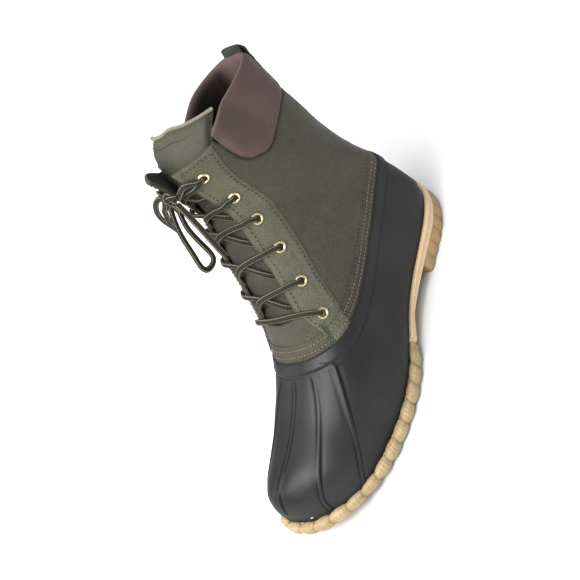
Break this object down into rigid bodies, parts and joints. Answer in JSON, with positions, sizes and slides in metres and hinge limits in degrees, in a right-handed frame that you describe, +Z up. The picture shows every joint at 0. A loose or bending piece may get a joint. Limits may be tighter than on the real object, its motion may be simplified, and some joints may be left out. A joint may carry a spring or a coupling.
{
  "type": "duck boot",
  "caption": "Lace-up duck boot: ribbed rubber lower shell, stitched leather upper, padded collar, gusset tongue and gum rubber sole.",
  "frame": {"origin": "on the floor under the middle of the boot's length and width", "axes": "+Z up, -Y from heel to toe, +X to the outer (little toe) side"},
  "size_m": [0.1102, 0.3062, 0.243],
  "materials": {
    "shell_rubber": "satin, dark charcoal brown",
    "upper_leather": "pebbled, olive grey, low sheen",
    "collar_leather": "soft, mauve brown, dull",
    "tongue_leather": "soft, lighter olive, dull",
    "outsole_rubber": "tan gum rubber, satin",
    "heel_rubber": "tan gum rubber, slightly more orange",
    "rim_rubber": "light tan gum rubber, rope pattern",
    "insole_fabric": "dark felt",
    "eyelets": "pale brass, semi-gloss",
    "laces": "dark olive woven cord with light edge marks",
    "pull_loop_webbing": "dark green webbing"
  },
  "bodies": {
    "root": {"shell": "shell_rubber", "upper": "upper_leather", "collar_pad": "collar_leather", "tongue": "tongue_leather", "outsole": "outsole_rubber", "heel": "heel_rubber", "welt": "rim_rubber", "insole": "insole_fabric", "eyelet_lateral_1": "eyelets", "eyelet_lateral_2": "eyelets", "eyelet_lateral_3": "eyelets", "eyelet_lateral_4": "eyelets", "eyelet_lateral_5": "eyelets", "eyelet_lateral_6": "eyelets", "eyelet_medial_1": "eyelets", "eyelet_medial_2": "eyelets", "eyelet_medial_3": "eyelets", "eyelet_medial_4": "eyelets", "eyelet_medial_5": "eyelets", "eyelet_medial_6": "eyelets", "lace_cross_1": "laces", "lace_cross_2": "laces", "lace_cross_3": "laces", "lace_cross_4": "laces", "lace_cross_5": "laces", "lace_bar": "laces", "lace_loop_front": "laces", "lace_loop_side": "laces", "lace_end": "laces", "lace_knot": "laces", "pull_loop": "pull_loop_webbing"}
  },
  "joints": []
}
